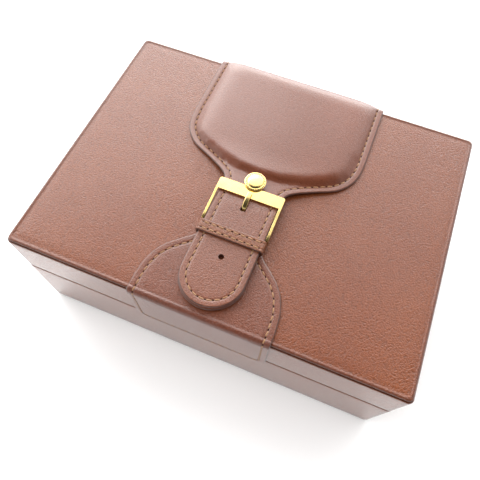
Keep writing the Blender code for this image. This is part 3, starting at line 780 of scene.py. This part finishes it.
def build_keeper():
    y0, y1 = -32.5, -26.8
    middle, half = (y0 + y1) / 2, (y1 - y0) / 2
    centre_z, high = H + 3.62, 1.85
    loop = rounded(15.05, high, 1.05, 8, 26)
    n = len(loop)

    def arch(x):
        """The upper side bows a little."""
        return 0.10 * math.cos(math.pi * x / 32)

    path = []
    for i, (x, z) in enumerate(loop):
        ax, az = loop[i - 1]
        bx, bz = loop[(i + 1) % n]
        t = Vector((bx - ax, 0, bz - az)).normalized()
        out = Vector((t.z, 0, -t.x))
        rise = arch(x) if z > 1.2 else 0.0
        path.append((Vector((TRIM_X + x, middle, centre_z + z + rise)), out, Vector((0, 1, 0))))
    section = []
    for k in range(-12, 13):
        b = half * k / 12
        edge = half - abs(b)
        section.append((0.46 - 0.30 * (1 - ease(edge / 0.5)) ** 1.5
                        - 0.16 * math.exp(-((edge - 1.45) / 0.35) ** 2), b))
    section += [(-0.42, half - 0.05), (-0.42, -half + 0.05)]
    ride(swept_loop("keeper", path, section, (KEEPER_LIT, EDGE_PAINT_AND_SHADE), "keeper", ("keeper_loop",),
                    lambda p, q: 1 if min(abs(p[1]), abs(q[1])) > half - 0.30 else 0))
    runs = []
    for b in (-half + 1.45, half - 1.45):
        run = []
        for k in range(27):
            x = -13.4 + 26.8 * k / 26
            run.append(((TRIM_X + x, middle + b, centre_z + high + arch(x) + 0.46 - 0.06), (0, 0, 1)))
        runs.append(run)
    ride(stitches("keeper_thread", runs, "keeper"))


# ---------------------------------------- buckle

def bevelled(obj, width, segments, angle):
    """Soften the edges sharper than angle, in degrees."""
    mod = obj.modifiers.new("soft_edges", "BEVEL")
    mod.width, mod.segments, mod.limit_method = width * MM, segments, "ANGLE"
    mod.angle_limit = math.radians(angle)


PIVOT_Y, PIVOT_Z = -24.9, H + 1.35  # the crossbar's axis
BAR_LOW, BAR_HIGH = H + 4.3, H + 5.4


def build_frame():
    """The buckle's frame in strips of quads: the bar and its two arms share their corner quads."""
    cy, cz = PIVOT_Y, PIVOT_Z
    low_y, high_y = -9.8, -3.9
    xs_out, xs_in = 15.5, 14.4
    side = [(cy - 1.05, cz - 0.6, cz + 2.4), (cy - 0.75, cz - 0.95, cz + 2.85), (cy, cz - 1.1, cz + 3.1),
            (cy + 0.75, cz - 0.95, cz + 3.2), (cy + 1.05, cz - 0.6, cz + 3.22),
            (cy + 1.2, cz + 1.9, cz + 3.24), (cy + 2.2, cz + 2.15, cz + 3.3), (-18, cz + 2.4, cz + 3.5),
            (-14, cz + 2.65, cz + 3.75), (-11, cz + 2.85, cz + 3.95), (low_y, BAR_LOW, BAR_HIGH)]
    arm_y = [y for y, _, _ in side]
    heights = {y: (low, high) for y, low, high in side}

    points, faces = [], []

    def column(x, y):
        low, high = heights.get(y, (BAR_LOW, BAR_HIGH))
        points.extend([(TRIM_X + x, y, low), (TRIM_X + x, y, high)])
        return len(points) - 2

    grid = {}
    bar_x = [-xs_out, -xs_in, -10, -5, 0, 5, 10, xs_in, xs_out]
    for x in bar_x:
        for y in (low_y, high_y):
            grid[(x, y)] = column(x, y)
    for x in (-xs_out, -xs_in, xs_in, xs_out):
        for y in arm_y[:-1]:
            grid[(x, y)] = column(x, y)
    quads = [((a, low_y), (b, low_y), (b, high_y), (a, high_y)) for a, b in zip(bar_x, bar_x[1:])]
    for x0, x1 in ((-xs_out, -xs_in), (xs_in, xs_out)):
        for y0, y1 in zip(arm_y, arm_y[1:]):
            quads.append(((x0, y0), (x1, y0), (x1, y1), (x0, y1)))
    used = {}
    for quad in quads:
        ids = [grid[c] for c in quad]
        faces += [tuple(i + 1 for i in ids), tuple(ids[::-1])]
        for a, b in zip(quad, quad[1:] + quad[:1]):
            used.setdefault(frozenset((a, b)), []).append((grid[a], grid[b]))
    for pairs in used.values():
        if len(pairs) == 1:
            a, b = pairs[0]
            faces.append((a, b, b + 1, a + 1))
    buckle = piece("buckle", points, faces, (GOLD,), "buckle", ("buckle_frame",), None, 40)
    # Round the outer corners of the bar in plan, then soften every edge.
    bm = bmesh.new()
    bm.from_mesh(buckle.data)
    upright = [e for e in bm.edges if (e.verts[0].co - e.verts[1].co).xy.length < 1e-7
               and abs(abs(e.verts[0].co.x / MM - TRIM_X) - xs_out) < 0.01
               and abs(e.verts[0].co.y / MM - high_y) < 0.01]
    bmesh.ops.bevel(bm, geom=upright, offset=1.0 * MM, segments=5, affect="EDGES", profile=0.5)
    bm.to_mesh(buckle.data)
    bm.free()
    bevelled(buckle, 0.24, 3, 35)
    ride(buckle)


def build_disc():
    """A plain domed disc with a beaded rim."""
    r, z, my = 4.9, BAR_HIGH + 0.12, -1.1
    profile = [(r - 0.5, z), (r - 0.1, z + 0.15), (r, z + 0.4), (r - 0.1, z + 0.65), (r - 0.35, z + 0.78),
               (r - 1.1, z + 0.78), (r - 1.25, z + 0.95), (r - 1.45, z + 1.12), (r - 1.7, z + 1.2),
               (r * 0.5, z + 1.25), (r * 0.35, z + 1.28), (r * 0.15, z + 1.3)]
    points = [(x, y, pz) for pr, pz in profile for x, y in circle(TRIM_X, my, pr, 48)]
    ride(stack("buckle_disc", points, len(profile), GOLD, "buckle", ("buckle_medallion",), 35))
    points, faces = [], []
    for bx, by in circle(TRIM_X, my, r - 0.62, 30):
        first = len(points)
        for k in range(1, 5):
            lat = math.pi * k / 5
            rise = z + 0.85 + 0.34 * math.cos(lat)
            points += [(x, y, rise) for x, y in circle(bx, by, 0.34 * math.sin(lat), 8)]
        faces += stacked(points, 4, first)
    ride(piece("buckle_disc_beads", points, faces, (GOLD,), "buckle", (), None, 80))


def build_prong():
    """The prong rises from the crossbar through the strap's slot and lies on the bar."""
    line = [(PIVOT_Y, H + 1.35), (-22.1, H + 1.0), (-19.5, H + 0.95), (-17.2, H + 1.05), (-15.9, H + 2.1),
            (-15.0, H + 3.6), (-14.2, H + 4.7), (-13.0, H + 5.55), (-11.4, H + 6.0), (-9.6, H + 6.14),
            (-7.4, H + 6.1)]
    section = [(1.1, -0.28), (1.06, 0.26), (0.88, 0.44), (0.0, 0.48), (-0.88, 0.44), (-1.06, 0.26),
               (-1.1, -0.28), (-0.85, -0.48), (0.85, -0.48)]
    points = []
    for k, (y, z) in enumerate(line):
        y0, z0 = line[max(k - 1, 0)]
        y1, z1 = line[min(k + 1, len(line) - 1)]
        t = Vector((0, y1 - y0, z1 - z0)).normalized()
        n = Vector((0, -t.z, t.y))
        points += [Vector((TRIM_X + a, y, z)) + n * b for a, b in section]
    prong = stack("prong", points, len(line), GOLD, "prong", ("buckle_prong",), 40)
    bevelled(prong, 0.12, 2, 40)
    ride(prong)
    points = [(TRIM_X + x, y, z) for x in (-1.1, 1.1) for r in (0.55, 1.0)
              for y, z in circle(PIVOT_Y, PIVOT_Z, r, 20)]
    faces = band(0, 20, 20) + band(40, 20, 60) + band(20, 20, 60) + band(0, 20, 40)
    ride(piece("prong_eye", points, faces, (GOLD,), "prong", (), None, 40))


# ---------------------------------------- box skins

def ring_skin(name, hx, hy, radius, profile, mats, body, replaces, least=0.4, wave=0.0):
    """A wall all round from a closed profile of (inset, z)."""
    points = []
    for d, z in profile:
        r = max(radius - (2 * d if d > 0 else 0), least)
        for x, y in rounded(hx - d, hy - d, r, 8, 30):
            n = noise.noise(Vector((x * 0.05, y * 0.05, z * 0.08))) * wave if d < 0.3 else 0.0
            size = math.hypot(x, y)
            points.append((x - x / size * n, y - y / size * n, z))
    count = len(points) // len(profile)
    faces = [f for k in range(len(profile) - 1) for f in band(k * count, count)]
    faces += band(len(points) - count, count, 0)
    return piece(name, points, faces, mats, body, replaces, None, 50)


def cut(obj, tools):
    for tool in tools:
        mod = obj.modifiers.new("cut", "BOOLEAN")
        mod.operation, mod.solver, mod.object = "DIFFERENCE", "EXACT", tool
    graph = bpy.context.evaluated_depsgraph_get()
    mesh = bpy.data.meshes.new_from_object(obj.evaluated_get(graph))
    obj.modifiers.clear()
    obj.data = mesh


def drop(tools):
    for tool in tools:
        bpy.data.objects.remove(tool, do_unlink=True)


def tool_block(points):
    return piece("tool", points, stacked(points, 2), (), "base")


def tool_box(x, y, z):
    return tool_block([(x[i], y[j], z[k]) for k in (0, 1) for i, j in ((0, 0), (1, 0), (1, 1), (0, 1))])


def build_base_pad():
    """The suede sheet under the box, with a rolled edge."""
    profile = [(3.0, 0.0), (0.4, 0.0), (0.12, 0.1), (0, 0.35), (0.1, 0.6), (0.4, 0.76), (3.0, 0.8)]
    points = [(x, y, z) for d, z in profile for x, y in rounded(W - 5 - d, D - 5 - d, 3 - 0.5 * d, 8, 20)]
    ride(stack("base_pad", points, len(profile), SUEDE, "base", ("bottom_pad",), 60))


def build_skins():
    foot, top = 1.1, PART_Z - 0.2
    wall = [(0, foot + 1.1 + (top - foot - 2.2) * k / 7) for k in range(1, 7)]
    base = ring_skin("base_skin", W, D, 2.5, [
        (12, foot), (5, foot), (1.1, foot), (0.55, foot + 0.12), (0.2, foot + 0.4), (0, foot + 1.1), *wall,
        (0, top - 1.2), (0.05, top - 0.95), (0.2, top - 0.82), (0.45, top - 0.78), (0.8, top - 0.7),
        (0.9, top - 0.3), (1.1, top), (4, top), (7.7, top), (7.7, top - 1.2), (1.7, top - 1.2),
        (1.7, top - 2.0), (1.2, top - 2.2), (1.2, foot + 1.1), (12, foot + 1.1)],
        (WALL,), "base", ("base_leather_wrap",), wave=0.05)
    foot, top = PART_Z + 0.2, H - 1.5
    wall = [(0, foot + 1.1 + (top - foot - 1.8) * k / 5) for k in range(1, 5)]
    lid = ring_skin("lid_wall_skin", W, D, 2.5, [
        (7.4, foot), (4, foot), (0.5, foot), (0.2, foot + 0.06), (0.05, foot + 0.2), (0, foot + 0.5), *wall,
        (0, top - 0.75), (0.03, top - 0.45), (0.14, top - 0.2), (0.32, top - 0.08), (0.5, top - 0.16),
        (0.68, top - 0.5), (0.8, top - 0.9), (1.0, top - 0.9), (1.2, top - 0.4), (1.2, foot + 1.2),
        (7.4, foot + 1.2)], (WALL,), "lid", ("lid_leather_wrap",), wave=0.05)
    # Room for the hinges' leaves and barrels.
    tools = []
    for at in (-HINGE_X, HINGE_X):
        ends = (at - 13.3, at + 13.3)
        tools.append(tool_box(ends, (60.0, 80), (PART_Z - 1.4, PART_Z + 1.4)))
        tools.append(tool_block([(x, y, z) for x in ends for y, z in circle(HINGE_Y, PART_Z, 1.8, 28)]))
    for obj in (base, lid):
        cut(obj, tools)
        ride(obj)
    drop(tools)

    rows = [(1.3, H - 1.25), (0.95, H - 1.2), (0.72, H - 1.0), (0.62, H - 0.75), (0.68, H - 0.5),
            (0.85, H - 0.27), (1.08, H - 0.11), (1.32, H - 0.02), (1.55, H + 0.02), (1.78, H - 0.02),
            (2.0, H - 0.11), (2.25, H - 0.19), (2.6, H - 0.22), (3.2, H - 0.19), (4.2, H - 0.10),
            (5.5, H - 0.03), (8, H), (16, H + 0.02), (30, H + 0.03), (48, H + 0.02)]
    points = []
    for d, z in rows:
        for x, y in rounded(W - d, D - d, max(2.5 - d * 0.5, 0.6), 8, 30):
            wave = 0.05 * noise.noise(Vector((x * 0.06, y * 0.06, 1.5))) if d > 2 else 0.0
            points.append((x, y, z + wave))
    ride(stack("lid_top_skin", points, len(rows), BODY, "lid", ("lid_top_leather",), 50))


# ---------------------------------------- inside

def build_inside():
    ride(ring_skin("rim_lining", 82.0, 58.5, 1.5, [
        (0, 5.7), (0, 24), (0, 45.6), (0.12, 46.05), (0.42, 46.33), (0.8, 46.4), (1.18, 46.33), (1.48, 46.05),
        (1.6, 45.6), (1.6, 24), (1.6, 5.7)], (SUEDE,), "base", ("base_collar",)))
    build_tray()
    build_pillow()
    build_ribbon()
    lx, ly, low, high = 83.2, 59.7, 43.1, 62.6
    rows = [(0.0, high), (0.0, low + 0.2), (0.1, low), (0.5, low), (0.6, low + 0.2), (0.6, high - 3.0),
            (0.75, high - 1.6), (1.2, high - 0.95), (2.2, high - 0.7)]
    points = [(x, y, z) for d, z in rows
              for x, y in rounded(lx - d, ly - d, 0.6 + (1.2 if d > 0.7 else 0), 8, 20)]
    ride(stack("lid_inner_lining", points, len(rows), SUEDE, "lid", ("lid_lining",), 50))
    under = 61.6
    points = []
    rows = [(3.6, under), (0.4, under - 0.1), (0.0, under - 0.9), (0.15, under - 1.7), (0.7, under - 2.4),
            (1.6, under - 2.75), (2.6, under - 2.8), (3.3, under - 2.55), (3.9, under - 2.45),
            (4.5, under - 2.6), (6.0, under - 3.05), (9.0, under - 3.35), (15, under - 3.5),
            (30, under - 3.55), (48, under - 3.55)]
    for d, z in rows:
        for x, y in rounded(79.2 - d, 55.7 - d, max(6.5 - d * 0.6, 1.5), 8, 26):
            soft = 0.12 * noise.noise(Vector((x * 0.09, y * 0.09, 9.0))) if d > 5 else 0.0
            points.append((x, y, z + soft))
    pad = stack("lid_inner_pad", points, len(rows), SUEDE, "lid", ("lid_pad",), 60)
    ride(pad)


def build_tray():
    tx, ty, top = 80.1, 56.6, 34.0
    rows = [(0, 5.7), (0, 20), (0, top - 1.0), (0.25, top - 0.3), (1.0, top)]
    points = [(x, y, z) for d, z in rows for x, y in rounded(tx - d, ty - d, 1.4, 6, 4)]
    tray = stack("tray_lining", points, len(rows), SUEDE, "base", ("insert_tray",), 50)

    def pocket(hx, hy, r, cx, floor):
        return tool_block([(x + cx, y, z) for z in (floor, top + 4) for x, y in rounded(hx, hy, r, 8, 2)])

    tools = [pocket(37, 31, 8, 0, 9.5), pocket(14, 44, 6, -60, 20), pocket(14, 44, 6, 60, 20),
             tool_box((-6.3, 6.3), (-ty - 1, -ty + 1.6), (20, top + 5))]
    cut(tray, tools)
    drop(tools)
    bevelled(tray, 0.9, 4, 40)
    ride(tray)


def build_pillow():
    bottom, top = 9.8, 50.0
    rows, count, points = 30, 96, []
    for k in range(rows + 1):
        v = -1 + 2 * k / rows
        z = (bottom + top) / 2 + (top - bottom) / 2 * math.copysign(abs(v) ** 0.9, v)
        shrink = (1 - abs(v) ** 4.2) ** (1 / 2.6)
        for j in range(count):
            a = 2 * math.pi * j / count
            c, s = math.cos(a), math.sin(a)
            px = math.copysign(abs(c) ** 0.42, c)
            py = math.copysign(abs(s) ** 0.42, s)
            # Piped seams near both ends pull the cover in.
            pull = 0.030 * math.exp(-((abs(px) * shrink - 0.80) / 0.028) ** 2)
            wobble = 0.012 * noise.noise(Vector((px * 2.2, py * 2.2, v * 2.0)))
            f = shrink * (1 + wobble) - pull
            points.append((32.4 * px * f, 26.4 * py * f, z - 6.0 * pull * v))
    pillow = stack("watch_pillow", points, rows + 1, SUEDE, "base", ("watch_cushion",), 70)
    ride(pillow)


def build_ribbon():
    y0 = -56.2
    line = [(y0 + 0.35, 21.0), (y0 + 0.3, 28.0), (y0 + 0.35, 32.5), (y0 + 0.9, 34.2), (y0 + 2.4, 34.72),
            (y0 + 5.5, 34.62), (y0 + 9, 34.95), (y0 + 12.5, 34.75), (y0 + 14.8, 34.62)]
    points, across = [], 8
    for k, (y, z) in enumerate(line):
        ya, za = line[max(k - 1, 0)]
        yb, zb = line[min(k + 1, len(line) - 1)]
        size = math.hypot(yb - ya, zb - za)
        ny, nz = -(zb - za) / size, (yb - ya) / size
        for side in (1, -1):
            for i in range(across + 1)[::side]:
                points.append((-5.4 + 10.8 * i / across, y + side * 0.16 * ny, z + side * 0.16 * nz))
    tab = stack("lift_tab", points, len(line), RIBBON, "base", ("insert_ribbon",), 60)
    ride(tab)


# ---------------------------------------- CAD nodes that stay

def finish_nodes():
    looks = {"leather": BODY, "trim_leather": TRIM, "board": BOARD, "suede": SUEDE, "foam": FOAM,
             "brass": BRASS, "steel": NICKEL, "ribbon": RIBBON}
    slot_of = {p["node"]: p["material_slot"] for p in frame["record"]["subparts"]}
    for name, obj in frame["nodes"].items():
        obj.data.materials.clear()
        obj.data.materials.append(GOLD if name == "buckle_crossbar" else looks[slot_of[name]])


# ---------------------------------------- camera, floor and light

def build_stage():
    scene = bpy.context.scene
    cam = bpy.data.cameras.new("camera")
    cam.lens, cam.sensor_width = 35.08, 36.0
    cam.shift_x, cam.shift_y = -0.0016, -0.0007
    cam.clip_start, cam.clip_end = 0.01, 20
    eye = bpy.data.objects.new("camera", cam)
    scene.collection.objects.link(eye)
    pan, tilt, roll = (math.radians(a) for a in (19.84, 90 - 63.91, 2.48))
    eye.matrix_world = (Matrix.Translation((0.0346, -0.1116, 0.2500)) @ Matrix.Rotation(pan, 4, "Z")
                        @ Matrix.Rotation(tilt, 4, "X") @ Matrix.Rotation(roll, 4, "Z"))
    scene.camera = eye

    mat, tree, shader = material("paper_floor", (0.90, 0.90, 0.90), 0.7)
    tint = noise_tex(tree, place(tree), 3, 2)
    tree.links.new(ramp(tree, tint, [(0.3, (0.88, 0.885, 0.89)), (0.7, (0.92, 0.92, 0.92))]),
                   shader.inputs["Base Color"])
    mesh = bpy.data.meshes.new("floor")
    mesh.from_pydata([(-3, -3, 0), (3, -3, 0), (3, 3, 0), (-3, 3, 0)], [], [(0, 1, 2, 3)])
    mesh.materials.append(mat)
    floor = bpy.data.objects.new("floor", mesh)
    scene.collection.objects.link(floor)

    world = bpy.data.worlds.new("studio")
    scene.world = world
    world.use_nodes = True
    tree = world.node_tree
    # The room is a white tent, dim overhead and dimmer towards the front and the right.
    way = add(tree, "ShaderNodeTexCoord").outputs["Generated"]

    def facing(direction):
        node = add(tree, "ShaderNodeVectorMath", operation="DOT_PRODUCT")
        node.inputs[1].default_value = Vector(direction).normalized()
        tree.links.new(way, node.inputs[0])
        return math_node(tree, "ADD", math_node(tree, "MULTIPLY", node.outputs["Value"], 0.5), 0.5)

    shade = ramp(tree, facing((0.05, -0.42, 0.91)),
                 [(0.67, (1.0, 0.985, 0.97)), (0.825, (0.66, 0.65, 0.64)), (0.87, (0.08, 0.08, 0.08)),
                  (1.0, (0.03, 0.03, 0.03))])
    front = ramp(tree, facing((0.0, -1.0, 0.0)), [(0.60, (1, 1, 1)), (0.85, (0.42, 0.42, 0.42))])
    right = ramp(tree, facing((1.0, 0.0, 0.0)), [(0.66, (1, 1, 1)), (0.88, (0.30, 0.30, 0.30))])
    shade = mix(tree, 1.0, mix(tree, 1.0, shade, front, "MULTIPLY"), right, "MULTIPLY")
    tree.links.new(shade, tree.nodes["Background"].inputs["Color"])
    tree.nodes["Background"].inputs["Strength"].default_value = 2.8

    def light(name, at, size, watts, mirrored=True, aim=(0, 0, 0.05)):
        data = bpy.data.lights.new(name, "AREA")
        data.shape, data.size, data.size_y = "RECTANGLE", size[0], size[1]
        data.energy = watts
        obj = bpy.data.objects.new(name, data)
        obj.location = at
        obj.rotation_euler = (Vector(aim) - Vector(at)).to_track_quat("-Z", "Y").to_euler()
        obj.visible_glossy = mirrored
        scene.collection.objects.link(obj)

    light("window_back_left", (-0.70, 0.62, 0.80), (1.1, 0.8), 9)
    light("window_back", (-0.1, 1.05, 0.30), (1.5, 0.40), 8)
    light("overhead_fill", (-0.1, -0.35, 1.4), (1.2, 0.9), 15, False)
    scene.view_settings.view_transform = "Standard"


build_stage()
finish_nodes()
build_base_pad()
build_skins()
build_inside()
build_strap()
build_apron()
build_keeper()
build_frame()
build_disc()
build_prong()
